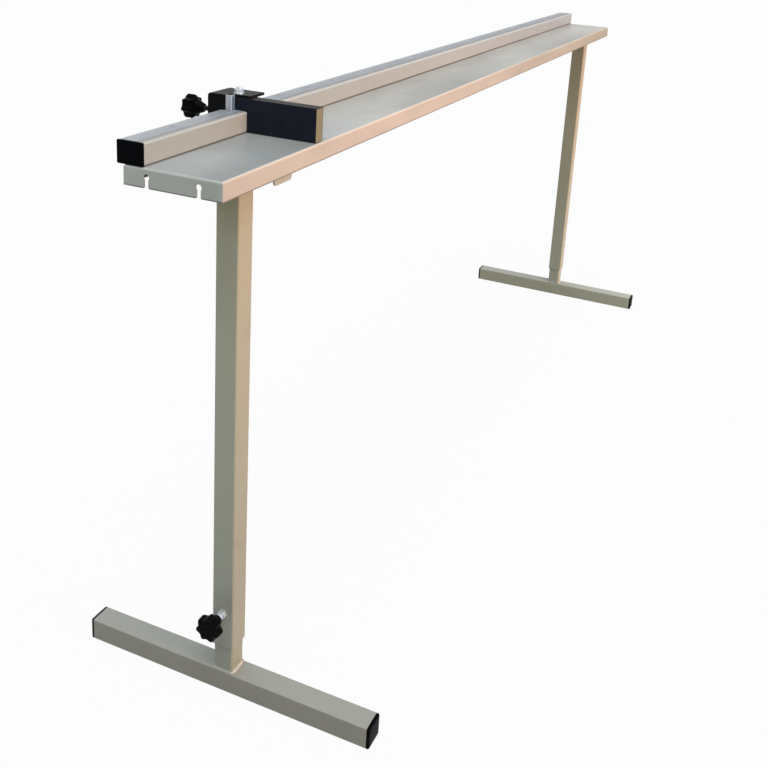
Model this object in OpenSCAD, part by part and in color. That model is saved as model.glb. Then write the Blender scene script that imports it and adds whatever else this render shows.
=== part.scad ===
// Support table with a measuring rail and a sliding length stop, on two telescopic T-legs.
// X runs along the table from the near end to the far end, Y from the front flange to the
// rail, Z up from the floor. The origin is on the floor, under the middle of the tray.

/* [Tray] */
// Length of the tray
tray_l = 2300; // [1500:10:2800]
// Width of the tray over its flanges
tray_w = 157; // [140:1:200]
// Depth of the folded flanges
flange_h = 28.5; // [24:0.5:45]
// Height of the tray top above the floor
table_h = 936; // [760:1:1000]
// Thickness of the tray sheet
sheet_t = 2; // [1.5:0.1:2.5]
// Outside radius of the folds
fold_r = 4; // [3:0.5:6]

/* [Keyholes] */
// Diameter of the round end of a keyhole
key_d = 9.5; // [8.5:0.1:11]
// Width of the neck under the round end
key_neck = 6.5; // [5.5:0.1:7.5]
// Width of the flared mouth at the lower edge
key_mouth = 11; // [10:0.5:14]
// Depth of the round end's centre below the tray top
key_drop = 13.5; // [11:0.5:15]
// Distance between the two keyholes of one end
key_spacing = 83; // [60:1:100]

/* [Rail] */
// Depth of the rail tube from front to back
rail_w = 43; // [38:1:50]
// Height of the rail tube
rail_h = 33; // [30:1:40]
// Wall of the rail tube
rail_t = 2; // [1.5:0.1:3]
// Outside corner radius of the rail tube
rail_r = 3.5; // [2.5:0.5:5]
// How far the rail stands out behind the tray
rail_over = 11; // [0:1:14]
// Width of the scale band on the rail
scale_w = 30; // [20:1:34]
// Thickness of the scale band
scale_t = 0.4; // [0.2:0.1:0.8]
// Thickness of the rail caps' outer flange
rail_cap_t = 3; // [2:0.5:6]
// Depth of the rail caps' plug
rail_plug_l = 16; // [8:1:30]

/* [Legs] */
// Outside width of the outer leg tube
leg_w = 40; // [38:1:50]
// Wall of the outer leg tube
leg_t = 2; // [1.5:0.1:2.5]
// Outside width of the inner leg tube
inner_w = 35; // [31:0.5:35.4]
// Wall of the inner leg tube
inner_t = 2; // [1.5:0.1:3]
// Outside corner radius of both leg tubes
leg_r = 3; // [2.5:0.5:4]
// Distance from the near end to the middle of the near leg
near_inset = 155; // [60:1:300]
// Distance from the far end to the middle of the far leg
far_inset = 34; // [32:1:300]
// Length of inner tube that shows under the outer tube
leg_show = 50; // [48:1:250]
// Length of the inner tube
inner_l = 340; // [320:5:600]
// Length of the leg plate across the tray
plate_l = 110; // [100:1:120]
// Width of the leg plate along the tray
plate_w = 56; // [50:1:60]
// Thickness of the leg plate
plate_t = 4; // [3:0.5:6]

/* [Feet] */
// Length of a foot over its caps
foot_l = 549; // [400:1:700]
// Width and height of the foot tube
foot_w = 40; // [38:1:50]
// Wall of the foot tube
foot_t = 2.5; // [2:0.1:3]
// Outside corner radius of the foot tube
foot_r = 3; // [2.6:0.1:4]
// Thickness of the foot caps' outer flange
foot_cap_t = 6; // [3:0.5:10]
// Depth of the foot caps' plug
foot_plug_l = 18; // [10:1:30]
// Size of the weld bead between inner tube and foot
bead = 4.5; // [3:0.5:6]

/* [Clamp screws] */
// Diameter of the clamp screws and of the leg studs
stud_d = 8; // [6:1:10]
// Height of a clamp nut
nut_h = 6.5; // [5:0.5:8]
// Width of a clamp nut across its flats
nut_af = 13; // [13:0.5:17]
// Pitch of the clamp screw thread
stud_pitch = 1.25; // [1:0.25:1.5]
// Height of the leg clamp screw above the outer tube's lower end
clamp_up = 65; // [40:1:100]
// Number of lobes of a knob
knob_lobes = 7; // [5:1:9]
// Diameter of the leg knob over its lobes
leg_knob_d = 45; // [35:1:60]
// Diameter of the stop knob over its lobes
stop_knob_d = 40; // [30:1:50]
// Thickness of a knob's grip
knob_t = 20; // [14:1:26]
// Length of a knob's conical hub
hub_l = 14; // [8:1:18]
// Length of screw that shows between nut and leg knob
leg_stud_show = 8.5; // [4:0.5:24]
// Length of screw that shows between nut and stop knob
stop_stud_show = 18.5; // [8:0.5:30]

/* [Stop] */
// Distance from the near end to the stop's carriage
stop_x = 249; // [10:1:1200]
// Length of the carriage along the rail
car_l = 56; // [50:1:80]
// Thickness of the carriage's top and back
car_t = 4; // [3:0.5:5]
// Thickness of the carriage's side cheeks
cheek_t = 3; // [2:0.5:4]
// Room for the clamp screw behind the rail
jaw_w = 17; // [14:0.5:24]
// How far the carriage's back reaches down beside the rail
cheek_drop = 24; // [20:1:30]
// How far the carriage top reaches in front of the rail
top_over = 4; // [2:0.5:12]
// Height of the stop board
board_h = 52.5; // [46:0.5:70]
// Thickness of the wooden core of the board
core_t = 20; // [17:0.5:22]
// Thickness of the black facing of the board
facing_t = 1; // [0.6:0.1:2]
// Gap under the board
board_gap = 1; // [0.5:0.1:3]
// Distance from the tray's front edge to the board's free end
board_inset = 4; // [0:1:20]
// How far the board's heel reaches over the rail
heel_l = 32; // [28:1:38]
// Setback of the board behind the carriage's near face
board_back = 11; // [10.5:0.5:14]
// Diameter of the board's bolt
bolt_d = 8; // [6:1:8]

/* [Hidden] */
$fn = 64;
cut = 1;                       // overrun of cuts
run_gap = 0.4;                 // clearance of what slides or swings on its neighbour
thread_gap = 0.05;             // radial clearance of a screw in its nut
hole_gap = 0.5;                // radial clearance of a screw in a plain hole
plug_gap = 0.1;                // clearance of a plug in its tube
clamp_gap = 0.35;              // gap that one clamp screw leaves when it is let go

near_x = -tray_l / 2 + near_inset;
far_x = tray_l / 2 - far_inset;
front_y = -tray_w / 2;
back_y = tray_w / 2;
under_z = table_h - sheet_t;

rail_back = back_y + rail_over;
rail_front = rail_back - rail_w;
rail_mid = (rail_back + rail_front) / 2;
rail_top = table_h + rail_h;
slide_z = rail_top + scale_t + run_gap;

nut_clear_r = stud_d / 2 + thread_gap;
thread_show = 2 * stud_pitch;  // a screw stands two threads out of its nut
washer_t = 1.6;
wash_over = 1.5;               // how far a washer stands out round its nut
small_d = 6;                   // rail screws
small_nut_h = 5;
small_nut_af = 10;
small_head_h = 4;
head_h = 5.3;

screw_y = (rail_front + back_y - sheet_t) / 2;
rail_screw_shares = [-0.47, -0.28, -0.09, 0.1, 0.29, 0.46];

plate_top = under_z;
plate_bolt_x = 17;
plate_bolt_y = 42;
weld_stud_l = plate_t + washer_t + nut_h + thread_show;

leg_low = foot_w + leg_show;
leg_high = plate_top - plate_t;
clamp_z = leg_low + clamp_up;
leg_tip = nut_h + leg_w / 2 - inner_w / 2 - clamp_gap;

bracket_l = 50;
bracket_w = 15;
bracket_t = 2.5;
bracket_off = 6;               // its middle beside the leg's middle
bracket_x = near_x + bracket_off;
bracket_low = 9.5;             // how far the bracket hangs below the front flange
bracket_h = flange_h + bracket_low - sheet_t;
bracket_r = 6;

car_x = -tray_l / 2 + stop_x;
car_back = rail_back + jaw_w + car_t;
board_top = table_h + board_gap + board_h;
car_top = board_top + car_t;
car_low = rail_top - cheek_drop;
corner_r = car_t + cheek_t / 3;
board_x = car_x + board_back;
board_t = core_t + 2 * facing_t;
board_far = board_x + board_t;
board_front = front_y + board_inset;
shoulder_y = rail_front - run_gap;
heel_y = shoulder_y + heel_l;
bolt_x = board_x + board_t / 2;
bolt_y = rail_front + rail_w / 2;
recess_d = nut_af * 1.17;
recess_h = head_h + run_gap;
cheek_y = rail_back - rail_w * 0.27;
top_step_x = board_back + board_t / 9;
tab_t = 3;
tab_l = 30;
tab_drop = 17;
wood_screw_d = 4;
wood_screw_l = 14;
wood_head_d = 8;
wood_head_h = 2.6;
wood_screw_step = 10;
pointer_w = 10;
pointer_d = 10.5;
pointer_t = 2;
clamp_x = car_x + car_l / 2;
stop_z = rail_top - stud_d;
stop_hub = jaw_w + car_t + nut_h + stop_stud_show - clamp_gap;
pad_d = 13;
pad_t = 5;
tip_d = 6;
tip_l = 3;

paint = [0.72, 0.71, 0.66];
dark = [0.10, 0.10, 0.11];
zinc = [0.72, 0.74, 0.76];
timber = [0.74, 0.60, 0.42];

// Smallest useful inside corner of a wall t with outside radius r
function inside_r(r, t) = max(r - t, t / 4);

// Flat and extruded helpers

module round_rect(w, h, r) {
    square([w, h - 2 * r], center = true);
    square([w - 2 * r, h], center = true);
    for (x = [-1, 1], y = [-1, 1])
        translate([x * (w / 2 - r), y * (h / 2 - r)]) circle(r);
}

module tube_section(w, h, t, r) {
    difference() {
        round_rect(w, h, r);
        round_rect(w - 2 * t, h - 2 * t, inside_r(r, t));
    }
}

// Section in Y and Z, run along X
module along_x(l) {
    rotate([90, 0, 90]) linear_extrude(l) children();
}

// Section in X and Z, run along Y
module along_y(l) {
    translate([0, l, 0]) rotate([90, 0, 0]) linear_extrude(l) children();
}

// Outline of a pan seen from one end: square feet, rounded shoulders, top at zero
module shoulder_section(w, h, r) {
    translate([-w / 2, -h]) square([w, h - r]);
    translate([-w / 2 + r, -h]) square([w - 2 * r, h]);
    for (s = [-1, 1]) translate([s * (w / 2 - r), -r]) circle(r);
}

// Solid whose four top edges are folded over with radius r
module pan_block(l, w, h, r) {
    intersection() {
        translate([-l / 2, 0, 0]) along_x(l) shoulder_section(w, h, r);
        translate([0, -w / 2, 0]) along_y(w) shoulder_section(l, h, r);
    }
}

// Angle with its outside corner at the origin and its legs towards -X and -Y
module angle_section(a, b, t, r) {
    ri = inside_r(r, t);
    difference() {
        union() {
            translate([-a, -b]) square([a, b - r]);
            translate([-a, -b]) square([a - r, b]);
            translate([-r, -r]) circle(r);
        }
        translate([-a - cut, -b - cut]) square([a + cut - t, b + cut - t - ri]);
        translate([-a - cut, -b - cut]) square([a + cut - t - ri, b + cut - t]);
        translate([-t - ri, -t - ri]) circle(ri);
    }
}

module hex_prism(af, h) {
    cylinder(h = h, r = af / sqrt(3), $fn = 6);
}

// Hexagon with its corners rounded off by a cone on the upper face
module hex_body(af, h) {
    intersection() {
        hex_prism(af, h);
        union() {
            cylinder(h = h - af / 12, r = af / sqrt(3) + cut);
            translate([0, 0, h - af / 12])
                cylinder(h = af / 12, r1 = af / sqrt(3), r2 = af / 2);
        }
    }
}

module hex_nut(af, h, bore_r) {
    difference() {
        hex_body(af, h);
        translate([0, 0, -cut]) cylinder(h = h + 2 * cut, r = bore_r);
    }
}

module washer(d, bore_r) {
    difference() {
        cylinder(h = washer_t, d = d);
        translate([0, 0, -cut]) cylinder(h = washer_t + 2 * cut, r = bore_r);
    }
}

// Tray: one sheet folded down on all four sides

module keyhole_cut() {
    mouth_r = (key_mouth - key_neck) / 2;
    circle(d = key_d);
    translate([-key_neck / 2, -flange_h]) square([key_neck, flange_h]);
    translate([0, key_drop - flange_h]) difference() {
        translate([-key_mouth / 2, -cut]) square([key_mouth, mouth_r + cut]);
        for (s = [-1, 1]) translate([s * key_mouth / 2, mouth_r]) circle(mouth_r);
    }
}

module tray() {
    color(paint) difference() {
        translate([0, 0, table_h]) pan_block(tray_l, tray_w, flange_h, fold_r);
        translate([0, 0, under_z])
            pan_block(tray_l - 2 * sheet_t, tray_w - 2 * sheet_t, flange_h,
                      inside_r(fold_r, sheet_t));
        for (e = [-1, 1], s = [-1, 1])
            translate([e * (tray_l - sheet_t) / 2 - sheet_t, s * key_spacing / 2,
                       table_h - key_drop])
                along_x(2 * sheet_t) keyhole_cut();
        each_rail_screw(under_z - cut)
            cylinder(h = sheet_t + 2 * cut, r = small_d / 2 + hole_gap);
    }
}

// Angle inside the front fold: one leg under the tray top, the other hanging out below
module front_bracket() {
    color(paint) translate([bracket_x, front_y + sheet_t, under_z]) intersection() {
        translate([-bracket_l / 2, 0, 0]) along_x(bracket_l)
            mirror([1, 0]) angle_section(bracket_w, bracket_h, bracket_t, 2 * bracket_t);
        translate([0, -cut, -bracket_h]) along_y(bracket_w + 2 * cut)
            rotate(180) shoulder_section(bracket_l, bracket_h + cut, bracket_r);
    }
}

// Rail: tube, printed band, end plugs and the screws that hold it down

module rail() {
    color(paint) difference() {
        translate([-tray_l / 2 + rail_cap_t, rail_mid, table_h + rail_h / 2])
            along_x(tray_l - 2 * rail_cap_t) tube_section(rail_w, rail_h, rail_t, rail_r);
        each_rail_screw(table_h - cut)
            cylinder(h = rail_t + 2 * cut, r = small_d / 2 + hole_gap);
    }
}

module rail_scale() {
    color([0.62, 0.68, 0.74])
        translate([-tray_l / 2 + rail_cap_t, rail_mid - scale_w / 2, rail_top])
            cube([tray_l - 2 * rail_cap_t, scale_w, scale_t]);
}

// Hollow plug of a tube end, its flange's outer face at zero and the plug towards +X
module tube_plug(w, h, t, r, flange_t, plug_l) {
    color(dark) {
        along_x(flange_t) round_rect(w, h, r);
        translate([flange_t, 0, 0]) along_x(plug_l)
            tube_section(w - 2 * t - 2 * plug_gap, h - 2 * t - 2 * plug_gap, t,
                         inside_r(r, t));
    }
}

module rail_cap() {
    translate([0, rail_mid, table_h + rail_h / 2])
        tube_plug(rail_w, rail_h, rail_t, rail_r, rail_cap_t, rail_plug_l);
}

module rail_cap_near() translate([-tray_l / 2, 0, 0]) rail_cap();

module rail_cap_far() mirror([1, 0, 0]) translate([-tray_l / 2, 0, 0]) rail_cap();

module each_rail_screw(z)
    for (k = rail_screw_shares) translate([k * tray_l, screw_y, z]) children();

module rail_screws() {
    shank = washer_t + sheet_t + rail_t + small_nut_h + thread_show;
    color(zinc) each_rail_screw(under_z - washer_t) {
        mirror([0, 0, 1]) hex_body(small_nut_af, small_head_h);
        translate([0, 0, -small_head_h / 2])
            cylinder(h = small_head_h / 2 + shank, d = small_d);
    }
}

module rail_washers()
    color(zinc) each_rail_screw(under_z - washer_t)
        washer(small_nut_af + 2 * wash_over, small_d / 2 + thread_gap);

module rail_nuts()
    color(zinc) each_rail_screw(table_h + rail_t)
        hex_nut(small_nut_af, small_nut_h, small_d / 2 + thread_gap);

// Legs: plate under the tray, outer tube, and the nut welded on it

module at_leg(end) translate([end < 0 ? near_x : far_x, 0, 0]) children();

module each_plate_bolt()
    for (sx = [-1, 1], sy = [-1, 1])
        translate([sx * plate_bolt_x, sy * plate_bolt_y, 0]) children();

module leg_plate() {
    color(paint) translate([0, 0, plate_top - plate_t]) difference() {
        linear_extrude(plate_t) round_rect(plate_w, plate_l, fold_r);
        each_plate_bolt() translate([0, 0, -cut])
            cylinder(h = plate_t + 2 * cut, r = stud_d / 2 + hole_gap);
    }
}

module plate_studs() {
    color(zinc) each_plate_bolt() translate([0, 0, under_z - weld_stud_l])
        cylinder(h = weld_stud_l, d = stud_d);
}

module plate_washers()
    color(zinc) each_plate_bolt() translate([0, 0, plate_top - plate_t - washer_t])
        washer(nut_af + 2 * wash_over, nut_clear_r);

module plate_nuts()
    color(zinc) each_plate_bolt() translate([0, 0, plate_top - plate_t - washer_t])
        mirror([0, 0, 1]) hex_nut(nut_af, nut_h, nut_clear_r);

// The clamp screw enters on the side given by end: -1 towards -X, 1 towards +X
module outer_tube(end) {
    color(paint) difference() {
        translate([0, 0, leg_low])
            linear_extrude(leg_high - leg_low) tube_section(leg_w, leg_w, leg_t, leg_r);
        translate([end * leg_w / 2, 0, clamp_z]) rotate([0, 90, 0])
            cylinder(h = 2 * leg_t + 2 * cut, r = stud_d / 2 + hole_gap, center = true);
    }
}

module clamp_nut(end) {
    color(zinc) translate([end * leg_w / 2, 0, clamp_z]) rotate([0, end * 90, 0])
        rotate(90) hex_nut(nut_af, nut_h, nut_clear_r);
}

// Inner tube welded on its foot

module inner_tube() {
    color(paint) translate([0, 0, foot_w])
        linear_extrude(inner_l) tube_section(inner_w, inner_w, inner_t, leg_r);
}

module foot_bar() {
    color(paint) translate([0, -foot_l / 2 + foot_cap_t, foot_w / 2])
        along_y(foot_l - 2 * foot_cap_t) tube_section(foot_w, foot_w, foot_t, foot_r);
}

module foot_caps() {
    for (s = [-1, 1]) rotate(s * 90)
        translate([-foot_l / 2, 0, foot_w / 2])
            tube_plug(foot_w, foot_w, foot_t, foot_r, foot_cap_t, foot_plug_l);
}

module foot_beads() {
    color(paint) for (s = [0, 180]) rotate(s)
        translate([-inner_w / 2 + leg_r, inner_w / 2, foot_w])
            along_x(inner_w - 2 * leg_r) intersection() {
                square(bead);
                circle(bead);
            }
}

// Clamp screws and their star knobs

// Star grip on the Z axis: conical hub from zero up, grip above it
module star_knob(d) {
    lobe_r = d * 0.11;
    pitch_r = d / 2 - lobe_r;
    scallop_r = d * 0.13;
    rim = knob_t / 5;
    step = 360 / knob_lobes;
    color(dark) difference() {
        union() {
            cylinder(h = hub_l + rim, d1 = d * 0.36, d2 = d * 0.74);
            translate([0, 0, hub_l]) intersection() {
                difference() {
                    linear_extrude(knob_t) {
                        circle(pitch_r);
                        for (i = [0 : knob_lobes - 1])
                            rotate(i * step) translate([pitch_r, 0]) circle(lobe_r);
                    }
                    for (i = [0 : knob_lobes - 1])
                        rotate((i + 0.5) * step) translate([pitch_r + 0.9 * scallop_r, 0, -cut])
                            cylinder(h = knob_t + 2 * cut, r = scallop_r);
                }
                rotate_extrude() knob_profile(d / 2, rim);
            }
        }
        translate([0, 0, hub_l + knob_t - rim / 2])
            cylinder(h = rim, d = d * 0.3);
        translate([0, 0, -cut])
            cylinder(h = hub_l + knob_t / 2 + cut, r = nut_clear_r);
    }
}

// Half section of a puck with rounded rims
module knob_profile(r, rim) {
    square([r - rim, knob_t]);
    translate([0, rim]) square([r, knob_t - 2 * rim]);
    for (z = [rim, knob_t - rim]) translate([r - rim, z]) circle(rim);
}

// Runs child along -X or +X, its zero at the outer face of the leg's clamp nut
module at_leg_screw(end)
    translate([end * (leg_w / 2 + nut_h), 0, clamp_z]) rotate([0, end * 90, 0]) children();

module leg_knob_near()
    at_leg(-1) at_leg_screw(-1) translate([0, 0, leg_stud_show]) star_knob(leg_knob_d);

module leg_stud_near()
    color(zinc) at_leg(-1) at_leg_screw(-1) translate([0, 0, -leg_tip])
        cylinder(h = leg_tip + leg_stud_show + hub_l + knob_t / 2, d = stud_d);

module leg_screw_far()
    color(zinc) at_leg(1) at_leg_screw(1) {
        translate([0, 0, -leg_tip]) cylinder(h = leg_tip + run_gap, d = stud_d);
        translate([0, 0, run_gap]) rotate(90) hex_body(nut_af, nut_h - washer_t);
    }

// Stop: carriage over the rail, board across the tray

module stop_carriage() {
    color(dark) {
        difference() {
            translate([car_x, car_back, car_top]) along_x(car_l)
                angle_section(car_back - rail_front + top_over, car_top - car_low, car_t,
                              corner_r);
            translate([car_x - cut, rail_front - top_over - cut, board_top - cut])
                cube([top_step_x + cut, cheek_y - rail_front + top_over + cut,
                      car_t + 2 * cut]);
            translate([bolt_x, bolt_y, board_top - cut])
                cylinder(h = car_t + 2 * cut, r = bolt_d / 2 + hole_gap);
            translate([clamp_x, car_back + cut, stop_z]) rotate([90, 0, 0])
                cylinder(h = car_t + 2 * cut, r = stud_d / 2 + hole_gap);
        }
        for (x = [car_x, car_x + car_l - cheek_t]) translate([x, 0, 0]) cheek();
        difference() {
            translate([board_far, rail_front - top_over, board_top - tab_drop])
                cube([tab_t, tab_l, tab_drop]);
            each_board_screw() translate([0, 0, -cut])
                cylinder(h = tab_t + 2 * cut, r = wood_screw_d / 2 + hole_gap);
        }
    }
}

// Cheek of the carriage: reaches over the rail and down behind it
module cheek() {
    along_x(cheek_t) difference() {
        translate([cheek_y, car_low])
            square([car_back - car_t - cheek_y, board_top - car_low]);
        translate([cheek_y - cut, car_low - cut])
            square([rail_back + run_gap - cheek_y + cut, slide_z - car_low + cut]);
    }
}

module stop_clamp_nut() {
    color(zinc) translate([clamp_x, car_back, stop_z]) rotate([-90, 0, 0])
        hex_nut(nut_af, nut_h, nut_clear_r);
}

// Angle that stands on end against the near cheek, as high as the carriage
module stop_pointer() {
    color(zinc) translate([car_x, cheek_y - pointer_w, slide_z])
        linear_extrude(car_top - slide_z)
            rotate(180) angle_section(pointer_d, pointer_w, pointer_t, pointer_t * 1.25);
}

// Side view of the board: it steps up over the rail
module board_outline(h) {
    translate([board_front, table_h + board_gap])
        square([shoulder_y - board_front, h]);
    translate([board_front, slide_z])
        square([heel_y - board_front, table_h + board_gap + h - slide_z]);
}

module stop_board() {
    color(timber) difference() {
        translate([board_x + facing_t, 0, 0]) along_x(core_t)
            board_outline(board_h - facing_t);
        translate([bolt_x, bolt_y, slide_z - cut]) {
            cylinder(h = board_h, r = bolt_d / 2 + hole_gap);
            cylinder(h = recess_h + cut, d = recess_d);
        }
        each_board_screw() translate([0, 0, tab_t - cut])
            cylinder(h = wood_screw_l + 2 * cut, r = wood_screw_d / 2 + thread_gap);
    }
}

module board_facing() {
    color(dark) {
        translate([board_x, 0, 0]) along_x(facing_t) board_outline(board_h);
        difference() {
            translate([board_x + facing_t + core_t, 0, 0])
                along_x(facing_t) board_outline(board_h);
            each_board_screw() translate([0, 0, tab_t - cut])
                cylinder(h = facing_t + 2 * cut, r = wood_screw_d / 2 + hole_gap);
        }
        difference() {
            translate([board_x + facing_t, board_front, board_top - facing_t])
                cube([core_t, heel_y - board_front, facing_t]);
            translate([bolt_x, bolt_y, board_top - facing_t - cut])
                cylinder(h = facing_t + 2 * cut, r = bolt_d / 2 + hole_gap);
        }
    }
}

// Local Z runs from the tab's outer face into the board
module each_board_screw()
    for (k = [0, 1])
        translate([board_far + tab_t, rail_front + (k + 0.2) * wood_screw_step,
                   board_top - tab_drop / 2])
            rotate([0, -90, 0]) children();

module board_screws() {
    color(zinc) each_board_screw() {
        translate([0, 0, -wood_head_h / 2]) cylinder(h = wood_head_h / 2, d = wood_head_d);
        translate([0, 0, -wood_head_h])
            cylinder(h = wood_head_h / 2, d1 = wood_head_d * 0.6, d2 = wood_head_d);
        translate([0, 0, -wood_head_h / 2])
            cylinder(h = wood_head_h / 2 + wood_screw_l, d = wood_screw_d);
    }
}

module board_bolt() {
    head_z = slide_z + recess_h - head_h;
    color(zinc) translate([bolt_x, bolt_y, head_z]) {
        translate([0, 0, head_h]) mirror([0, 0, 1]) hex_body(nut_af, head_h);
        cylinder(h = car_top + washer_t + nut_h + thread_show - head_z, d = bolt_d);
    }
}

module board_washer()
    color(zinc) translate([bolt_x, bolt_y, car_top])
        washer(nut_af + 2 * wash_over, bolt_d / 2 + thread_gap);

module board_nut()
    color(zinc) translate([bolt_x, bolt_y, car_top + washer_t])
        hex_nut(nut_af, nut_h, bolt_d / 2 + thread_gap);

// Clamp screw of the stop: local Z runs back from the rail's back face

module at_stop_screw()
    translate([clamp_x, rail_back + clamp_gap, stop_z]) rotate([-90, 0, 0]) children();

module stop_pad() {
    color(dark) at_stop_screw() difference() {
        cylinder(h = pad_t, d = pad_d);
        translate([0, 0, pad_t - tip_l - run_gap])
            cylinder(h = tip_l + run_gap + cut, r = tip_d / 2 + thread_gap);
    }
}

module stop_stud() {
    color(zinc) at_stop_screw() {
        translate([0, 0, pad_t - tip_l]) cylinder(h = tip_l + run_gap, d = tip_d);
        translate([0, 0, pad_t + run_gap])
            cylinder(h = stop_hub + hub_l + knob_t / 2 - pad_t - run_gap, d = stud_d);
    }
}

module stop_knob() at_stop_screw() translate([0, 0, stop_hub]) star_knob(stop_knob_d);

tray();
front_bracket();
rail();
rail_scale();
rail_cap_near();
rail_cap_far();
rail_screws();
rail_washers();
rail_nuts();
at_leg(-1) leg_plate();  // leg_plate_near
at_leg(1) leg_plate();  // leg_plate_far
at_leg(-1) plate_studs();  // plate_studs_near
at_leg(1) plate_studs();  // plate_studs_far
at_leg(-1) plate_washers();  // plate_washers_near
at_leg(1) plate_washers();  // plate_washers_far
at_leg(-1) plate_nuts();  // plate_nuts_near
at_leg(1) plate_nuts();  // plate_nuts_far
at_leg(-1) outer_tube(-1);  // outer_tube_near
at_leg(1) outer_tube(1);  // outer_tube_far
at_leg(-1) clamp_nut(-1);  // clamp_nut_near
at_leg(1) clamp_nut(1);  // clamp_nut_far
at_leg(-1) inner_tube();  // inner_tube_near
at_leg(-1) foot_bar();  // foot_bar_near
at_leg(-1) foot_caps();  // foot_caps_near
at_leg(-1) foot_beads();  // foot_beads_near
at_leg(1) inner_tube();  // inner_tube_far
at_leg(1) foot_bar();  // foot_bar_far
at_leg(1) foot_caps();  // foot_caps_far
at_leg(1) foot_beads();  // foot_beads_far
leg_knob_near();
leg_stud_near();
leg_screw_far();
stop_carriage();
stop_clamp_nut();
stop_pointer();
stop_board();
board_facing();
board_screws();
board_bolt();
board_washer();
board_nut();
stop_pad();
stop_knob();
stop_stud();
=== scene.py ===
"""Looks of a support table with a measuring rail and a sliding length stop."""

import math
import random

import bpy
from mathutils import Euler, Matrix, Vector


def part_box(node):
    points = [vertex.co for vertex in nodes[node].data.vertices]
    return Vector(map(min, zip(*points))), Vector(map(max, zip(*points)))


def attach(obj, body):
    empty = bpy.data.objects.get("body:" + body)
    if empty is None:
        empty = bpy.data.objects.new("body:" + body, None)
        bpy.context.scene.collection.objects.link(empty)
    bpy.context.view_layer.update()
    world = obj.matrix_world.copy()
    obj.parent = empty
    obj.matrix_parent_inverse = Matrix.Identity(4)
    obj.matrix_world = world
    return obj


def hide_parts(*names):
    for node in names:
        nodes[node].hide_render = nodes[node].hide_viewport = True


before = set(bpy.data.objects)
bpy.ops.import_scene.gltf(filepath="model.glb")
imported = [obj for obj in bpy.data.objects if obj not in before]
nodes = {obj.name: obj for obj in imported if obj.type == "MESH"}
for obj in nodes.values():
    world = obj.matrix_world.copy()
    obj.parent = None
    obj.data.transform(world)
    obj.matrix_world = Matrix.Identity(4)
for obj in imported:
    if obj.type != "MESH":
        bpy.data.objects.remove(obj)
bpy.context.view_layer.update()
MM = 0.001


# Shader maths


class Link:
    """A socket whose values can be written in sums, products and comparisons."""

    def __init__(self, finish, socket):
        self.finish = finish
        self.socket = socket

    def math(self, operation, *others):
        return self.finish.math(operation, self, *others)

    def __add__(self, other):
        return self.math("ADD", other)

    def __sub__(self, other):
        return self.math("SUBTRACT", other)

    def __rsub__(self, other):
        return self.finish.math("SUBTRACT", other, self)

    def __mul__(self, other):
        return self.math("MULTIPLY", other)

    def __truediv__(self, other):
        return self.math("DIVIDE", other)

    def __gt__(self, other):
        return self.math("GREATER_THAN", other)

    def __lt__(self, other):
        return self.math("LESS_THAN", other)

    __radd__ = __add__
    __rmul__ = __mul__

    def clamped(self):
        result = self.math("ADD", 0.0)
        result.socket.node.use_clamp = True
        return result


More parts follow.
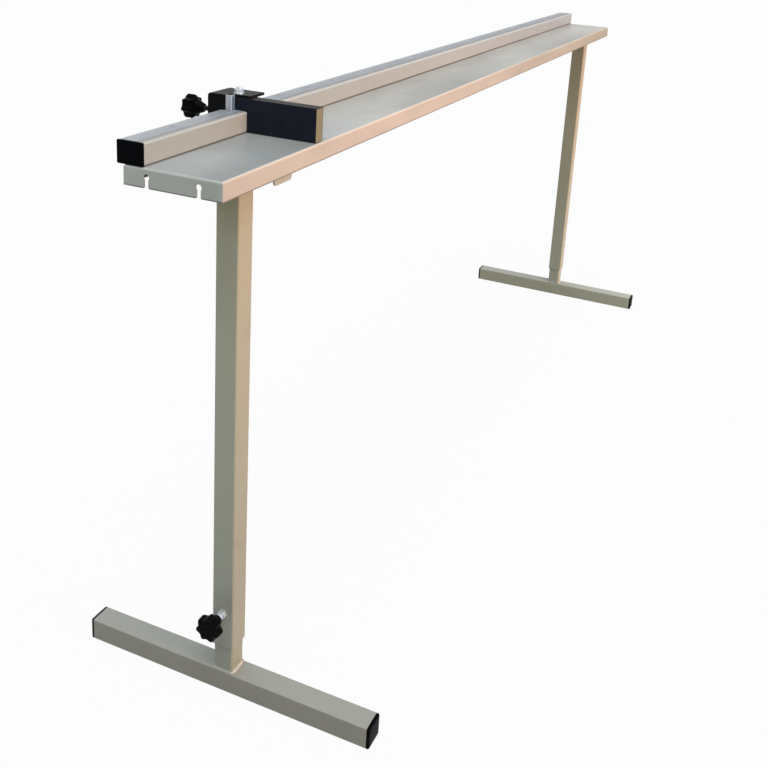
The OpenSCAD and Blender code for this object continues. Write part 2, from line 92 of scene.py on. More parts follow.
class Finish:
    """One material, or the world, made of nodes."""

    def __init__(self, name, library=bpy.data.materials):
        self.made = library.new(name)
        self.made.use_nodes = True
        self.tree = self.made.node_tree
        self.tree.nodes.clear()

    def add(self, kind, settings=None, sockets=None, out=0):
        """A node with its settings made first, then its sockets filled or linked."""
        node = self.tree.nodes.new(kind)
        for key, value in (settings or {}).items():
            if key == "stops":
                stops = node.color_ramp.elements
                while len(stops) < len(value):
                    stops.new(1.0)
                for stop, (position, colour) in zip(stops, value):
                    stop.position = position
                    stop.color = (*colour, 1.0)
            else:
                setattr(node, key, value)
        for key, value in (sockets or {}).items():
            socket = node.inputs[key]
            if isinstance(value, Link):
                self.tree.links.new(value.socket, socket)
            elif socket.type == "RGBA" and len(value) == 3:
                socket.default_value = (*value, 1.0)
            else:
                socket.default_value = value
        return Link(self, node.outputs[out]) if node.outputs else None

    def math(self, operation, *values):
        return self.add("ShaderNodeMath", {"operation": operation}, dict(enumerate(values)))

    def place(self):
        return self.add("ShaderNodeTexCoord", out="Object")

    def facing(self):
        return self.add("ShaderNodeNewGeometry", out="Normal")

    def along(self, place, axis):
        return self.add("ShaderNodeSeparateXYZ", None, {0: place}, axis)

    def stretched(self, place, factors):
        return self.add("ShaderNodeVectorMath", {"operation": "MULTIPLY"},
                        {0: place, 1: factors})

    def noise(self, place, scale, detail=2.0, roughness=0.5, warp=0.0):
        return self.add("ShaderNodeTexNoise", None,
                        {"Vector": place, "Scale": scale, "Detail": detail,
                         "Roughness": roughness, "Distortion": warp})

    def cells(self, place, scale):
        return self.add("ShaderNodeTexVoronoi", None, {"Vector": place, "Scale": scale},
                        "Distance")

    def band(self, value, low, high):
        """Zero below low, one above high, smooth between."""
        return self.add("ShaderNodeMapRange", {"interpolation_type": "SMOOTHSTEP"},
                        {"Value": value, "From Min": low, "From Max": high})

    def ramp(self, value, stops):
        return self.add("ShaderNodeValToRGB", {"stops": stops}, {"Fac": value})

    def blend(self, first, second, amount):
        """Colour first, going to second as amount goes to one: the Mix node's colour sockets."""
        return self.add("ShaderNodeMix", {"data_type": "RGBA"},
                        {0: amount, 6: first, 7: second}, 2)

    def shaded(self, colour, factor):
        """The colour made lighter or darker by a factor."""
        return self.add("ShaderNodeVectorMath", {"operation": "SCALE"},
                        {0: colour, "Scale": factor})

    def soft_edges(self, radius):
        """Normal that rounds hard edges, and a mask of those edges."""
        rounded = self.add("ShaderNodeBevel", {"samples": 6}, {"Radius": radius})
        cosine = self.add("ShaderNodeVectorMath", {"operation": "DOT_PRODUCT"},
                          {0: rounded, 1: self.facing()}, "Value")
        return rounded, ((1 - cosine) * 9.0).clamped()

    def bump(self, height, depth, normal=None):
        sockets = {"Height": height, "Distance": depth}
        if normal:
            sockets["Normal"] = normal
        return self.add("ShaderNodeBump", None, sockets)

    def white_rays(self):
        """One for rays from the camera, through glass or off metal, which see the background."""
        camera, glass, metal = (self.add("ShaderNodeLightPath", out="Is %s Ray" % kind)
                                for kind in ("Camera", "Transmission", "Glossy"))
        return (camera + glass + metal).clamped()

    def surface(self, **sockets):
        """Ends the material: words in socket names are joined by low lines."""
        named = {key.replace("_", " "): value for key, value in sockets.items()}
        shader = self.add("ShaderNodeBsdfPrincipled", None, named)
        self.add("ShaderNodeOutputMaterial", None, {"Surface": shader})
        return self.made


# Finishes of the pieces


def powder_coat(name, colour, gloss=0.36, rubbed=0.0, dusty=0.0, shade_line_z=0.0, sheen=0.0,
                run=None, faces=(), shaded_box=None, reflection_bands=None):
    """Baked paint with a fine orange peel, painted highlights on bends and edges, rubbed edges
    and a little dirt.

    A colour is one value, or stops along run, which is an axis and its two ends; the stops paint
    light and shade in. faces has an axis, a side of it and the colour of what looks that way, a
    painted light or shade. sheen is the strength of broad painted light and dark bars,
    shade_line_z is the height of a painted line of shade at a lower edge, and shaded_box is a box
    whose faces get painted shade. reflection_bands are painted dark reflections on up faces:
    their spacing, the place of a dark one along X, and the two places along Y between which they
    fade out.
    """
    f = Finish(name)
    p = f.place()
    rounded, edge = f.soft_edges(0.9 * MM)
    facing = f.facing()
    up = f.along(facing, "Z")
    way = (f.along(p, run[0]) - run[1]) / (run[2] - run[1]) if run else None

    def tone(value):
        return f.ramp(way, value) if isinstance(value, list) else value

    colour = tone(colour)
    # Each listed side gets its own colour: painted light and shade for the way it faces
    for axis, side, value in faces:
        painted_light_side = f.band(side * f.along(facing, axis), 0.3, 0.9)
        colour = f.blend(colour, tone(value), painted_light_side)
    cloud = f.noise(p, 3.0, 3.0)
    peel = f.noise(p, 460.0, 2.0, 0.55)
    grit = f.noise(p, 2100.0, 1.0)
    paint = f.shaded(colour, 0.955 + 0.09 * cloud + 0.05 * (grit - 0.5))
    if sheen:
        bars = f.noise(f.stretched(p, (3.2, 7.0, 7.0)), 1.0, 2.0, 0.5, 0.4)
        paint = f.shaded(paint, 1 + sheen * (f.band(bars, 0.3, 0.7) - 0.5))
    # Painted dark reflections in slow bands across the up faces, strongest at the front edge
    if reflection_bands:
        length, dark, strong, none = reflection_bands
        reflection_swing = f.math("COSINE", (f.along(p, "X") - dark) * (2 * math.pi / length))
        depth = (1 - f.band(f.along(p, "Y"), strong, none)) * f.band(up, 0.90, 0.99)
        paint = f.shaded(paint, 1 - 0.21 * (1 + reflection_swing) * depth)
    # Painted highlight along bends between the top and the sides
    bend = f.band(up, 0.20, 0.55) * (1 - f.band(up, 0.82, 0.97))
    paint = f.blend(paint, f.shaded(paint, 1.28), bend * 0.8)
    # Painted shade on faces that look down
    paint = f.blend(paint, f.shaded(paint, 0.20), f.band(0 - up, 0.6, 0.9) * 0.9)
    # Painted shade on faces within the box
    if shaded_box:
        amount = 1.0
        for axis, low, high in zip("XYZ", *shaded_box):
            value = f.along(p, axis)
            amount = amount * (value > low) * (value < high)
        paint = f.blend(paint, f.shaded(paint, 0.10), amount)
    smudge = f.band(f.noise(p, 11.0, 5.0, 0.62, 0.6), 0.54, 0.78)
    paint = f.blend(paint, f.shaded(paint, 0.90), smudge * 0.55)
    # Edges painted lighter: part wear and part painted highlight
    paint = f.blend(paint, f.shaded(paint, 1.16), edge * 0.6)
    rough = gloss + 0.10 * (cloud - 0.5) + 0.09 * smudge
    if rubbed:
        hair = f.noise(f.stretched(p, (5.0, 620.0, 620.0)), 1.0, 2.0, 0.6)
        patch = f.band(f.noise(p, 5.0, 2.0), 0.42, 0.66)
        rub = f.band(hair, 0.60, 0.70) * patch * rubbed
        paint = f.blend(paint, f.shaded(paint, 1.12), rub)
        rough = rough + 0.12 * rub
    if dusty:
        lies = f.band(up, 0.35, 0.95) * (0.75 + 0.25 * f.noise(p, 55.0, 4.0, 0.65)) * dusty
        paint = f.blend(paint, (0.47, 0.465, 0.43), lies)
        rough = rough + 0.2 * lies
    # Painted line of shade along the lower edge
    if shade_line_z:
        line = 1 - f.band(f.along(p, "Z"), shade_line_z + 0.5 * MM, shade_line_z + 3.0 * MM)
        paint = f.blend(paint, f.shaded(paint, 0.30), line * 0.85)
    return f.surface(Base_Color=paint, Roughness=rough, Specular_IOR_Level=0.30,
                     Normal=f.bump(peel, 0.06 * MM, rounded))


def zinc_plate(name, tone=1.0, front=(1.0, 1.0, 1.0)):
    """Bright zinc with passivated blotches and fine tool marks, bluer on its front."""
    f = Finish(name)
    p = f.place()
    rounded, edge = f.soft_edges(0.5 * MM)
    blotch = f.noise(p, 140.0, 4.0, 0.6, 0.8)
    marks = f.noise(p, 1600.0, 2.0)
    plate = f.ramp(blotch, [(0.25, (0.40 * tone, 0.43 * tone, 0.47 * tone)),
                            (0.55, (0.55 * tone, 0.58 * tone, 0.60 * tone)),
                            (0.80, (0.62 * tone, 0.61 * tone, 0.54 * tone))])
    plate = f.blend(plate, (0.78 * tone, 0.79 * tone, 0.80 * tone), edge * 0.5)
    back = f.along(f.facing(), "Y")
    # The front is painted bluer: a painted reflection
    plate = f.blend(plate, f.stretched(plate, front), f.band(0 - back, 0.2, 0.9))
    return f.surface(Base_Color=plate, Metallic=0.75 - 0.25 * blotch,
                     Roughness=0.30 + 0.22 * blotch,
                     Normal=f.bump(marks, 0.02 * MM, rounded))


def moulded_black(name, colour=(0.0014, 0.0016, 0.0022), rough=0.42):
    """Black plastic out of a spark-eroded mould, with a painted highlight along its edges."""
    f = Finish(name)
    p = f.place()
    rounded, edge = f.soft_edges(0.6 * MM)
    skin = f.cells(p, 1500.0)
    cloud = f.noise(p, 60.0, 3.0)
    plastic = f.shaded(colour, 0.8 + 0.5 * cloud)
    # Painted highlight along the edges
    plastic = f.blend(plastic, (0.026, 0.027, 0.031), edge * 0.45)
    return f.surface(Base_Color=plastic, Roughness=rough + 0.14 * (cloud - 0.5),
                     Specular_IOR_Level=0.02, Normal=f.bump(skin, 0.03 * MM, rounded))


def black_enamel(name):
    """Brushed black paint on plate, with bare steel showing at a few edges."""
    f = Finish(name)
    p = f.place()
    rounded, edge = f.soft_edges(0.8 * MM)
    flow = f.noise(f.stretched(p, (160.0, 700.0, 160.0)), 1.0, 3.0)
    cloud = f.noise(p, 35.0, 4.0, 0.6)
    paint = f.ramp(cloud, [(0.3, (0.0030, 0.0034, 0.0040)), (0.7, (0.0070, 0.0074, 0.0080))])
    up = f.along(f.facing(), "Z")
    # Tops painted paler: part dust and part painted sheen
    paint = f.blend(paint, (0.014, 0.015, 0.013),
                    f.band(up, 0.5, 0.95) * (0.55 + 0.6 * cloud).clamped())
    chip = edge * f.band(f.noise(p, 420.0, 3.0, 0.7), 0.60, 0.66)
    colour = f.blend(paint, (0.36, 0.36, 0.35), chip)
    return f.surface(Base_Color=colour, Metallic=chip, Roughness=0.34 + 0.18 * cloud,
                     Specular_IOR_Level=0.04, Normal=f.bump(flow, 0.05 * MM, rounded))


def film_face(name):
    """Phenolic film on plywood: blue-black, faintly meshed, scuffed by the stock."""
    f = Finish(name)
    p = f.place()
    rounded, edge = f.soft_edges(0.5 * MM)
    mesh = f.noise(p, 900.0, 1.0)
    cloud = f.noise(p, 28.0, 4.0)
    hair = f.noise(f.stretched(p, (400.0, 14.0, 400.0)), 1.0, 3.0, 0.6)
    scuff = f.band(hair, 0.62, 0.74) * f.band(f.noise(p, 20.0, 2.0), 0.4, 0.7)
    film = f.ramp(cloud, [(0.3, (0.0078, 0.0100, 0.0175)), (0.75, (0.0130, 0.0160, 0.0265))])
    film = f.blend(film, (0.060, 0.062, 0.070), scuff * 0.5)
    up = f.along(f.facing(), "Z")
    film = f.blend(film, (0.017, 0.015, 0.010), f.band(up, 0.5, 0.9) * 0.8)
    film = f.blend(film, (0.045, 0.030, 0.018), edge * 0.6)
    return f.surface(Base_Color=film, Roughness=0.44 + 0.12 * cloud + 0.15 * scuff,
                     Specular_IOR_Level=0.08, Normal=f.bump(mesh, 0.02 * MM, rounded))


def plywood(name):
    """Birch plies across the board's thickness, with end grain and long grain in turn."""
    f = Finish(name)
    p = f.place()
    rounded, edge = f.soft_edges(0.5 * MM)
    across = f.along(p, "X")
    half_ply = 1.45 * MM
    ply = f.math("PINGPONG", across + 0.15 * MM * f.noise(p, 90.0), half_ply) / half_ply
    glue = f.band(ply, 0.90, 0.98)
    end_grain = f.math("FRACT", across / (4 * half_ply)) > 0.5
    pores = f.noise(f.stretched(p, (700.0, 700.0, 2400.0)), 1.0, 2.0, 0.7)
    grain = f.noise(f.stretched(p, (500.0, 60.0, 2200.0)), 1.0, 3.0, 0.6)
    wood = f.ramp(grain, [(0.25, (0.135, 0.118, 0.074)), (0.5, (0.205, 0.193, 0.124)),
                          (0.8, (0.265, 0.252, 0.170))])
    wood = f.blend(wood, f.shaded(wood, 0.72 + 0.35 * pores), end_grain * 0.8)
    wood = f.blend(wood, (0.16, 0.085, 0.04), glue * 0.75)
    wood = f.blend(wood, (0.20, 0.12, 0.06), edge * 0.5)
    return f.surface(Base_Color=wood, Roughness=0.62 + 0.2 * pores,
                     Normal=f.bump(grain + 0.5 * pores, 0.10 * MM, rounded))


def tape_face(name):
    """Face of a measuring tape: pale lacquered steel, a little dirty."""
    f = Finish(name)
    p = f.place()
    cloud = f.noise(p, 16.0, 4.0)
    brush = f.noise(f.stretched(p, (14.0, 1500.0, 1500.0)), 1.0, 2.0)
    face = f.ramp(cloud, [(0.3, (0.23, 0.25, 0.28)), (0.7, (0.30, 0.32, 0.34))])
    face = f.shaded(face, 0.95 + 0.1 * brush)
    return f.surface(Base_Color=face, Roughness=0.34 + 0.14 * cloud,
                     Normal=f.bump(brush, 0.01 * MM))


def tape_ink(name, colour):
    """Printed ink of the scale, worn through to the tape in places."""
    f = Finish(name)
    p = f.place()
    worn = f.band(f.noise(p, 30.0, 4.0, 0.65), 0.5, 0.8)
    ink = f.blend(f.shaded(colour, 0.8 + 0.4 * f.noise(p, 800.0)), (0.30, 0.33, 0.38),
                  worn * 0.45)
    return f.surface(Base_Color=ink, Roughness=0.40 + 0.15 * worn)


def studio_floor(name):
    """Pale floor that the camera sees nearly white, with the shadow left in it."""
    f = Finish(name)
    matt = f.add("ShaderNodeBsdfDiffuse", None, {"Color": (0.48, 0.48, 0.48)})
    white = f.add("ShaderNodeEmission", None, {"Color": (1.0, 1.0, 1.0), "Strength": 1.0})
    both = f.add("ShaderNodeMixShader", None, {0: f.white_rays() * 0.96, 1: matt, 2: white})
    f.add("ShaderNodeOutputMaterial", None, {"Surface": both})
    return f.made


def studio_world(name):
    """A cool sky that lights the object, seen as plain white."""
    f = Finish(name, bpy.data.worlds)
    sky = f.add("ShaderNodeBackground", None, {"Color": (0.92, 1.0, 1.08), "Strength": 0.40})
    white = f.add("ShaderNodeBackground", None, {"Color": (1.0, 1.0, 1.0), "Strength": 1.0})
    both = f.add("ShaderNodeMixShader", None, {0: f.white_rays(), 1: sky, 2: white})
    f.add("ShaderNodeOutputWorld", None, {"Surface": both})
    return f.made


# Colours, warm and cool as the photograph's low light leaves them

tray_low, tray_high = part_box("tray")
rail_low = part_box("rail")[0]
# Most of the sheet's thickness, so that the box of painted shade takes in the hollow and no outer
# bend
SKIN = 1.6 * MM
HOLLOW = ([v + SKIN for v in tray_low], [v - SKIN for v in tray_high])
# Painted dark reflections across the top in slow bands, deepest at the front edge and gone before
# the rail
REFLECTION_SPACING = 0.92
DARK_REFLECTION_X = -0.26
REFLECTIONS_END_Y = 0.03
TRAY_RUN = ("X", tray_low.x, tray_high.x)
# Painted light and shade: the top, the front and the near end each get their own colours, which
# change along the length
TRAY_TOP = [(0.05, (0.36, 0.385, 0.38)), (0.25, (0.40, 0.40, 0.37)), (1.0, (0.41, 0.39, 0.35))]
TRAY_FRONT = [(0.0, (0.41, 0.385, 0.345)), (0.25, (0.47, 0.42, 0.37)), (1.0, (0.285, 0.25, 0.17))]
TRAY_END = (0.37, 0.395, 0.35)
TRAY_COAT = powder_coat("tray_coat", (0.41, 0.41, 0.37), 0.34, rubbed=0.7, shade_line_z=tray_low.z,
                        sheen=0.22, run=TRAY_RUN, shaded_box=HOLLOW,
                        faces=[("Z", 1, TRAY_TOP), ("Y", -1, TRAY_FRONT), ("X", -1, TRAY_END)],
                        reflection_bands=(REFLECTION_SPACING, DARK_REFLECTION_X, tray_low.y, REFLECTIONS_END_Y))
BRACKET_COAT = powder_coat("bracket_coat", (0.370, 0.370, 0.315), 0.34)
# Foot weld beads painted paler than the feet they join: a painted highlight
HIGHLIT_BEAD_COAT = powder_coat("highlit_bead_coat", (0.400, 0.395, 0.350), 0.30)
# Painted light: the rail's front gets its own colours along the length
RAIL_FRONT = [(0.0, (0.31, 0.36, 0.37)), (0.5, (0.39, 0.43, 0.46)), (1.0, (0.30, 0.35, 0.40))]
RAIL_COAT = powder_coat("rail_coat", (0.34, 0.35, 0.325), 0.36, rubbed=0.3,
                        shade_line_z=rail_low.z + 0.2 * MM, run=TRAY_RUN, faces=[("Y", -1, RAIL_FRONT)])
HEIGHT = ("Z", 0.0, 1.0)  # metres above the floor
# Painted shade and warm reflected light: the legs are darker lower down and dark brown just under
# the tray
LEG_SIDE = [(0.1, (0.28, 0.295, 0.24)), (0.8, (0.41, 0.42, 0.31)), (0.92, (0.27, 0.23, 0.11))]
LEG_FRONT = [(0.2, (0.26, 0.28, 0.225)), (0.82, (0.385, 0.385, 0.30)), (0.92, (0.31, 0.26, 0.14))]
LEG_COAT = powder_coat("leg_coat", LEG_SIDE, 0.38, run=HEIGHT, faces=[("Y", -1, LEG_FRONT)])
# The far legs' paint, coloured apart from the near ones for their light: browner near the top, a
# painted warm reflection
FAR_LEG_COAT = powder_coat("far_leg_coat", [(0.1, (0.36, 0.36, 0.27)), (0.9, (0.40, 0.33, 0.20))],
                           0.38, run=HEIGHT)
# One paint on both feet: the near foot painted darker and the far one lighter, as shaded and lit
# copies
FOOT_COAT = powder_coat("foot_coat", (0.252, 0.247, 0.204), 0.38, dusty=0.42)
FAR_FOOT_COAT = powder_coat("far_foot_coat", (0.372, 0.366, 0.270), 0.38, dusty=0.7)
# Front tints of the zinc are painted reflection
ZINC = zinc_plate("zinc_plate", 1.1, (0.80, 1.05, 1.30))
DULL_ZINC = zinc_plate("dull_zinc", 0.75, (0.62, 0.95, 1.35))
BLACK_STEEL = zinc_plate("black_steel", 0.03)
BLACK_CAP = moulded_black("cap_plastic")
BLACK_GRIP = moulded_black("grip_plastic", (0.0026, 0.0027, 0.0034), 0.34)
CARRIAGE_PAINT = black_enamel("carriage_paint")
FILM = film_face("board_film")
PLYWOOD = plywood("birch_plywood")
TAPE = tape_face("tape_face")
BLACK_INK = tape_ink("black_ink", (0.050, 0.055, 0.062))

WORN_BY = {
    TRAY_COAT: ["tray"],
    BRACKET_COAT: ["front_bracket"],
    RAIL_COAT: ["rail"],
    LEG_COAT: ["leg_plate_near", "outer_tube_near", "inner_tube_near"],
    FAR_LEG_COAT: ["leg_plate_far", "outer_tube_far", "inner_tube_far"],
    FOOT_COAT: ["foot_bar_near", "foot_beads_near"],
    FAR_FOOT_COAT: ["foot_bar_far", "foot_beads_far"],
    ZINC: ["rail_screws", "rail_washers", "rail_nuts", "plate_studs_near",
           "plate_studs_far", "plate_washers_near", "plate_washers_far",
           "plate_nuts_near", "plate_nuts_far", "clamp_nut_near", "clamp_nut_far",
           "leg_stud_near", "leg_screw_far", "board_screws", "board_bolt",
           "board_washer", "board_nut"],
    BLACK_STEEL: ["stop_clamp_nut", "stop_stud"],
    DULL_ZINC: ["stop_pointer"],
    BLACK_CAP: ["rail_cap_near", "rail_cap_far", "foot_caps_near", "foot_caps_far",
                "stop_pad"],
    BLACK_GRIP: ["leg_knob_near", "stop_knob"],
    CARRIAGE_PAINT: ["stop_carriage"],
    FILM: ["board_facing"],
    PLYWOOD: ["stop_board"],
    TAPE: ["rail_scale"],
}
for finish, names in WORN_BY.items():
    for name in names:
        for slot in nodes[name].material_slots:
            slot.material = finish


# Sizes that the frame doesn't give: clamp screws of 8 mm, and the weld beads

THREAD_RADIUS = 4.0 * MM
THREAD_PITCH = 1.25 * MM
FOOT_BEAD = 2.0 * MM
FOOT_FILLET = 4.4 * MM
FILLET_INSET = 1.5 * MM
PLATE_BEAD = 2.4 * MM
NUT_BEAD = 1.3 * MM
STOP_NUT_BEAD = 1.2 * MM
BEAD_LIFT = 0.6 * MM
NUT_RING = 7.0 * MM
# Degrees past which an edge stays sharp
CREASE = 34.0
BEAD_CREASE = 60.0


# Mesh helpers


def directions(axis):
    """Two directions square to an axis, and the axis itself."""
    w = Vector(axis).normalized()
    u = Vector((0, 0, 1)) if abs(w.z) < 0.9 else Vector((1, 0, 0))
    u = (u - w * u.dot(w)).normalized()
    return u, w.cross(u), w


def lofted(rings, ends=(True, True)):
    """Skin over rings of equal count, each end closed or left open."""
    count = len(rings[0])
    points = [p for ring in rings for p in ring]
    faces = []
    for k in range(len(rings) - 1):
        for i in range(count):
            j = (i + 1) % count
            faces.append((k * count + i, k * count + j,
                          (k + 1) * count + j, (k + 1) * count + i))
    if ends[0]:
        faces.append(tuple(reversed(range(count))))
    if ends[1]:
        faces.append(tuple((len(rings) - 1) * count + i for i in range(count)))
    return points, faces


def together(shapes):
    """Several shapes as one list of points and one of faces."""
    points, faces = [], []
    for some_points, some_faces in shapes:
        start = len(points)
        points.extend(some_points)
        faces.extend(tuple(start + i for i in face) for face in some_faces)
    return points, faces


def turned(start, axis, rows, count=32):
    """Shape round an axis: each row has a distance along it and a radius or a rule."""
    u, v, w = directions(axis)
    rings = []
    for distance, radius in rows:
        ring = []
        for i in range(count):
            a = 2 * math.pi * i / count
            r = radius(a) if callable(radius) else radius
            ring.append(Vector(start) + w * distance + (u * math.cos(a) + v * math.sin(a)) * r)
        rings.append(ring)
    return lofted(rings)


def make(name, body, finish, shape, replaced=(), crease=CREASE):
    """A piece of the model from points and faces."""
    mesh = bpy.data.meshes.new(name)
    mesh.from_pydata([tuple(p) for p in shape[0]], [], shape[1])
    mesh.validate()
    mesh.materials.append(finish)
    mesh.shade_smooth()
    mesh.set_sharp_from_angle(angle=math.radians(crease))
    obj = bpy.data.objects.new(name, mesh)
    bpy.context.scene.collection.objects.link(obj)
    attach(obj, body)
    if replaced:
        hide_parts(*replaced)


def thread(start, axis, length):
    """Screw with a real helical thread that runs out at both ends."""
    rows = []
    steps_each_turn = 8
    total = int(length / THREAD_PITCH * steps_each_turn)
    depth = 0.55 * THREAD_PITCH
    runout = 0.8 * THREAD_PITCH
    for k in range(total + 1):
        s = length * k / total
        taper = min(1.0, s / runout, (length - s) / runout)

        def radius_at(a, s=s, taper=taper):
            phase = (s / THREAD_PITCH - a / (2 * math.pi)) % 1.0
            flank = abs(2 * phase - 1)
            crest = min(1.0, max(0.0, flank * 1.35 - 0.15))
            return (THREAD_RADIUS - depth) + depth * crest * taper

        rows.append((s, radius_at))
    return turned(start, axis, rows, count=24)


def star_grip(start, axis, size):
    """Star knob: conical hub, scalloped grip and a recess with the screw's end in it."""
    hub, grip, lobes = 14.0 * MM, 20.0 * MM, 7

    def star(share, depth):
        def radius_at(a):
            dip = (0.5 - 0.5 * math.cos(lobes * a)) ** 0.8
            return size * share * (1 - depth * dip)
        return radius_at

    rows = [(0.0, size * 0.165), (0.3 * MM, size * 0.178), (2.0 * MM, size * 0.192),
            (hub * 0.5, size * 0.245), (hub * 0.85, size * 0.305),
            (hub - 0.6 * MM, star(0.335, 0.02)), (hub, star(0.365, 0.05)),
            (hub + 0.4 * MM, star(0.420, 0.13)), (hub + 1.2 * MM, star(0.462, 0.19)),
            (hub + 2.8 * MM, star(0.490, 0.225)), (hub + 5.0 * MM, star(0.500, 0.235)),
            (hub + 9.7 * MM, star(0.500, 0.235)), (hub + 10.0 * MM, star(0.496, 0.230)),
            (hub + 10.3 * MM, star(0.500, 0.235)), (hub + 15.0 * MM, star(0.497, 0.235)),
            (hub + 17.4 * MM, star(0.484, 0.225)), (hub + 19.0 * MM, star(0.450, 0.20)),
            (hub + 19.8 * MM, star(0.400, 0.15)), (hub + grip, star(0.340, 0.08)),
            (hub + grip, star(0.25, 0.01)), (hub + grip - 0.1 * MM, size * 0.20),
            (hub + grip - 1.1 * MM, size * 0.19), (hub + grip - 1.3 * MM, size * 0.165),
            (hub + grip - 1.3 * MM, size * 0.13), (hub + grip - 0.5 * MM, size * 0.12),
            (hub + grip - 0.3 * MM, size * 0.11), (hub + grip - 0.3 * MM, size * 0.02)]
    return turned(start, axis, rows, count=lobes * 20)


def rounded_ring(centre, u, v, width, height, radius):
    """Points of a rounded rectangle."""
    ring = []
    steps = 6
    for corner, (su, sv) in enumerate([(1, 1), (-1, 1), (-1, -1), (1, -1)]):
        for i in range(steps + 1):
            a = math.pi / 2 * (corner + i / steps)
            ring.append(Vector(centre)
                        + u * (su * (width / 2 - radius) + radius * math.cos(a))
                        + v * (sv * (height / 2 - radius) + radius * math.sin(a)))
    return ring


def pillow_cap(start, axis, width, height, corner, rows):
    """End cap of a tube: each row has a distance from its start and an inset all round."""
    u, v, w = directions(axis)
    rings = []
    for distance, inset in rows:
        rings.append(rounded_ring(Vector(start) + w * distance, u, v, height - 2 * inset,
                                  width - 2 * inset, max(corner - inset * 0.4, 0.6 * MM)))
    return lofted(rings)


def weld(path, size, seed, closed=False):
    """Rippled bead that follows a path and sits half in the joint."""
    chance = random.Random(seed)
    points = []
    corners = path + [path[0]] if closed else path
    for a, b in zip(corners[:-1], corners[1:]):
        a, b = Vector(a), Vector(b)
        steps = max(2, int((b - a).length / (size * 0.30)))
        points.extend(a.lerp(b, k / steps) for k in range(steps))
    if not closed:
        points.append(Vector(path[-1]))
    rings = []
    last = len(points) - 1
    for k, p in enumerate(points):
        ahead = points[(k + 1) % len(points)] if closed else points[min(k + 1, last)]
        behind = points[k - 1] if closed or k else points[0]
        u, v, _ = directions(ahead - behind)
        swell = 0.80 + 0.20 * abs(math.sin(k * 0.9)) + chance.uniform(-0.05, 0.05)
        if not closed:
            swell *= 0.35 + 0.65 * min(1.0, k / 3, (last - k) / 3)
        rings.append([p + (u * math.cos(a) + v * math.sin(a)) * size * swell
                      for a in (math.pi / 5 * i for i in range(10))])
    if closed:
        rings.append(rings[0])
    return lofted(rings, (not closed, not closed))


def middle(name):
    """Middle of a solid's box."""
    low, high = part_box(name)
    return (low + high) / 2


def round_tube(low, high, z):
    """Corners of a square tube at a height."""
    return [(low.x, low.y, z), (high.x, low.y, z), (high.x, high.y, z), (low.x, high.y, z)]


def round_nut(name, axis, seat):
    """Ring just outside a nut, where its face meets metal square to axis 0 or 1."""
    ring = []
    for i in range(16):
        a = math.pi / 8 * i
        point = middle(name)
        point[axis] = seat
        point[1 - axis] += NUT_RING * math.cos(a)
        point.z += NUT_RING * math.sin(a)
        ring.append(point)
    return ring


# Clamp screws and their grips

low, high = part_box("leg_stud_near")
centre = middle("leg_stud_near")
make("leg_screw_thread", "leg_clamp_near", ZINC,
     thread((high.x, centre.y, centre.z), (-1, 0, 0), high.x - low.x),
     ["leg_stud_near"])
low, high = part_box("leg_knob_near")
make("leg_star_grip", "leg_clamp_near", BLACK_GRIP,
     star_grip((high.x, centre.y, centre.z), (-1, 0, 0), high.y - low.y),
     ["leg_knob_near"])

low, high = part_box("stop_stud")
centre = middle("stop_stud")
NOSE_RADIUS = 3.0 * MM
NOSE_LENGTH = 3.4 * MM
NOSE_ROWS = [(0.0, 0.8 * NOSE_RADIUS), (0.5 * MM, NOSE_RADIUS), (NOSE_LENGTH, NOSE_RADIUS)]
make("stop_screw_thread", "stop_screw", BLACK_STEEL,
     together([turned((centre.x, low.y, centre.z), (0, 1, 0), NOSE_ROWS),
               thread((centre.x, low.y + NOSE_LENGTH, centre.z), (0, 1, 0),
                      high.y - low.y - NOSE_LENGTH)]),
     ["stop_stud"])
low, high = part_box("stop_knob")
make("stop_star_grip", "stop_screw", BLACK_GRIP,
     star_grip((centre.x, low.y, centre.z), (0, 1, 0), high.z - low.z),
     ["stop_knob"])

# Caps of the tubes

FOOT_CORNER = 3.0 * MM
RAIL_CORNER = 1.8 * MM
FOOT_ROWS = [(0.0, 0.0), (3.0 * MM, 0.0), (4.2 * MM, 0.35 * MM), (5.0 * MM, 1.2 * MM),
             (5.4 * MM, 2.6 * MM), (5.7 * MM, 6.0 * MM), (5.9 * MM, 11.0 * MM),
             (6.0 * MM, 16.0 * MM)]
RAIL_ROWS = [(0.0, 0.0), (2.1 * MM, 0.0), (2.6 * MM, 0.2 * MM), (2.9 * MM, 0.6 * MM),
             (3.0 * MM, 1.2 * MM), (3.0 * MM, 3.0 * MM)]
for end in ("near", "far"):
    low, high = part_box("foot_caps_" + end)
    caps = []
    centre = middle("foot_caps_" + end)
    for side, y in ((-1, low.y), (1, high.y)):
        caps.append(pillow_cap((centre.x, y - side * FOOT_ROWS[-1][0], centre.z), (0, side, 0),
                               high.x - low.x, high.z - low.z, FOOT_CORNER, FOOT_ROWS))
    make("foot_end_caps_" + end, "foot_" + end, BLACK_CAP,
         together(caps), ["foot_caps_" + end])
    low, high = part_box("rail_cap_" + end)
    centre = middle("rail_cap_" + end)
    side, face = (-1, low.x) if end == "near" else (1, high.x)
    make("rail_end_cap_" + end, "table", BLACK_CAP,
         pillow_cap((face - side * RAIL_ROWS[-1][0], centre.y, centre.z), (side, 0, 0),
                    high.y - low.y, high.z - low.z, RAIL_CORNER, RAIL_ROWS),
         ["rail_cap_" + end])

# Weld beads

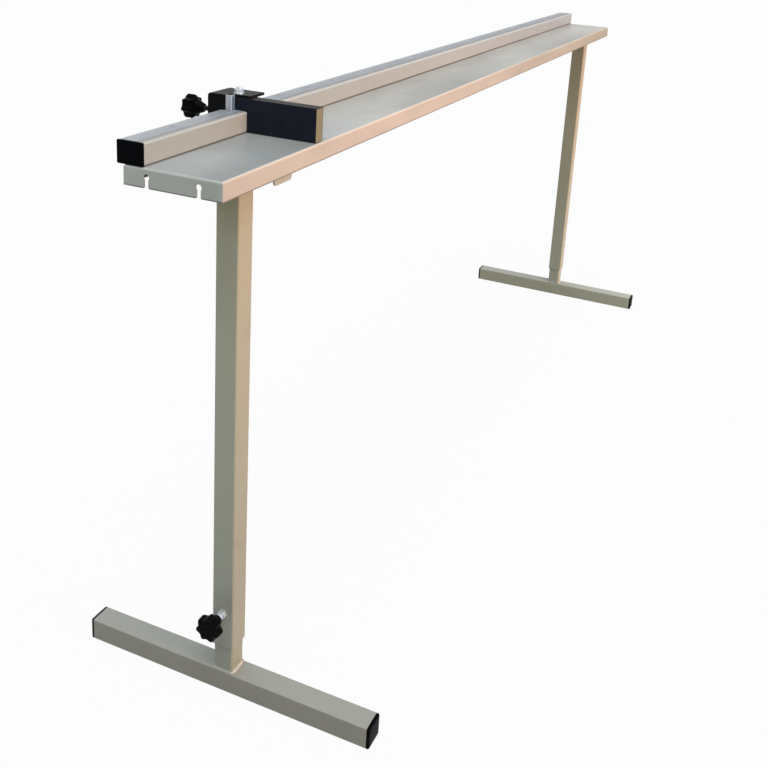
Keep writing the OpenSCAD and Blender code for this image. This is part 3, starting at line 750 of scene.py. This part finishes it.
for end in ("near", "far"):
    low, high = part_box("inner_tube_" + end)
    z = low.z + BEAD_LIFT
    left, right = low.x + FILLET_INSET, high.x - FILLET_INSET
    fillets = [weld([(left, y, z), (right, y, z)], FOOT_FILLET, seed=15)
               for y in (low.y, high.y)]
    ring = weld(round_tube(low, high, z), FOOT_BEAD, seed=11, closed=True)
    make("foot_weld_" + end, "foot_" + end, HIGHLIT_BEAD_COAT,
         together([ring] + fillets), ["foot_beads_" + end], crease=BEAD_CREASE)
    low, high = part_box("outer_tube_" + end)
    ring = round_tube(low, high, high.z - BEAD_LIFT)
    make("plate_weld_" + end, "table", LEG_COAT,
         weld(ring, PLATE_BEAD, seed=12, closed=True), crease=BEAD_CREASE)
    low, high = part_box("clamp_nut_" + end)
    ring = round_nut("clamp_nut_" + end, 0, high.x if end == "near" else low.x)
    make("nut_weld_" + end, "table", LEG_COAT,
         weld(ring, NUT_BEAD, seed=13, closed=True), crease=BEAD_CREASE)
low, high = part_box("stop_clamp_nut")
ring = round_nut("stop_clamp_nut", 1, low.y)
make("stop_nut_weld", "stop", CARRIAGE_PAINT,
     weld(ring, STOP_NUT_BEAD, seed=14, closed=True), crease=BEAD_CREASE)

# Printed scale on the rail: a mark each millimetre, a figure each centimetre

MARK_START = 1.0 * MM
SHORT_MARK = 5.0 * MM
MIDDLE_MARK = 7.5 * MM
LONG_MARK = 11.0 * MM
FINE_LINE = 0.25 * MM
BROAD_LINE = 0.35 * MM
SMALL_SIZE = 6.2 * MM
SMALL_ROW = 16.5 * MM
TENS_SIZE = 11.0 * MM
TENS_ROW = 20.0 * MM
INK_LIFT = 0.03 * MM


def flat_mark(x, y0, y1, width, z):
    """Thin flat strip across the scale."""
    return ([(x - width / 2, y0, z), (x + width / 2, y0, z),
             (x + width / 2, y1, z), (x - width / 2, y1, z)], [(0, 1, 2, 3)])


def numeral(text, size, x, y, z):
    """Flat figures centred on x and y, read from the front."""
    curve = bpy.data.curves.new("numeral", "FONT")
    curve.body = text
    curve.size = size
    curve.align_x = "CENTER"
    curve.align_y = "CENTER"
    curve.resolution_u = 2
    obj = bpy.data.objects.new("numeral", curve)
    mesh = bpy.data.meshes.new_from_object(obj)
    points = [(v.co.x + x, v.co.y + y, z) for v in mesh.vertices]
    faces = [tuple(f.vertices) for f in mesh.polygons]
    bpy.data.objects.remove(obj)
    bpy.data.curves.remove(curve)
    bpy.data.meshes.remove(mesh)
    return points, faces


low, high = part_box("rail_scale")
print_z = high.z + INK_LIFT
start = low.y + MARK_START
marks, small, tens = [], [], []
for step in range(1, int((high.x - low.x) / MM)):
    x = low.x + step * MM
    length = LONG_MARK if step % 10 == 0 else MIDDLE_MARK if step % 5 == 0 else SHORT_MARK
    width = BROAD_LINE if step % 10 == 0 else FINE_LINE
    marks.append(flat_mark(x, start, start + length, width, print_z))
    if step % 100 == 0:
        tens.append(numeral(str(step // 10), TENS_SIZE, x, low.y + TENS_ROW, print_z))
    elif step % 10 == 0:
        small.append(numeral(str(step // 10), SMALL_SIZE, x, low.y + SMALL_ROW, print_z))
make("scale_marks", "table", BLACK_INK, together(marks))
make("scale_numbers", "table", BLACK_INK, together(small))
make("scale_tens", "table", BLACK_INK, together(tens))


# Floor, light and camera

SPAN = 45.0  # metres from the middle of the floor to its sides
floor_mesh = bpy.data.meshes.new("studio_floor")
floor_mesh.from_pydata([(-SPAN, -SPAN, 0), (SPAN, -SPAN, 0), (SPAN, SPAN, 0), (-SPAN, SPAN, 0)],
                       [], [(0, 1, 2, 3)])
floor_mesh.materials.append(studio_floor("floor_paint"))
floor = bpy.data.objects.new("studio_floor", floor_mesh)
bpy.context.scene.collection.objects.link(floor)

bpy.context.scene.world = studio_world("studio")


def soft_sun(name, towards, level, colour, angle):
    """Distant soft lamp that shines along a direction; level 1 shows a colour as written."""
    lamp = bpy.data.lights.new(name, "SUN")
    lamp.energy = level * math.pi
    lamp.color = colour
    lamp.angle = math.radians(angle)
    obj = bpy.data.objects.new(name, lamp)
    obj.rotation_euler = Vector(towards).to_track_quat("-Z", "Y").to_euler()
    bpy.context.scene.collection.objects.link(obj)


soft_sun("warm_side", (0.05, 1.0, -0.10), 1.18, (1.0, 0.585, 0.365), 24.0)
soft_sun("cool_top", (0.30, 0.18, -1.0), 0.62, (0.86, 0.95, 1.0), 40.0)
soft_sun("back_fill", (-0.6, -1.0, -0.5), 0.16, (1.0, 1.0, 1.0), 40.0)

# The camera's place, its turn and its lens come from the photograph's long straight edges
EYE = Vector((-2.21462, -0.76264, 1.29271))
TILT = math.radians(73.5587)
ROLL = math.radians(-3.1491)
HEADING = math.radians(-65.7798)
camera_data = bpy.data.cameras.new("photo_camera")
camera_data.sensor_fit = "HORIZONTAL"
camera_data.sensor_width = 36.0
camera_data.lens = 47.486
camera_data.shift_y = -0.2396
camera_data.clip_start = 0.05
camera_data.clip_end = 200.0
camera = bpy.data.objects.new("photo_camera", camera_data)
turn = Euler((TILT, ROLL, HEADING)).to_matrix().to_4x4()
camera.matrix_world = Matrix.Translation(EYE) @ turn
bpy.context.scene.collection.objects.link(camera)
bpy.context.scene.camera = camera
bpy.context.scene.view_settings.view_transform = "Standard"
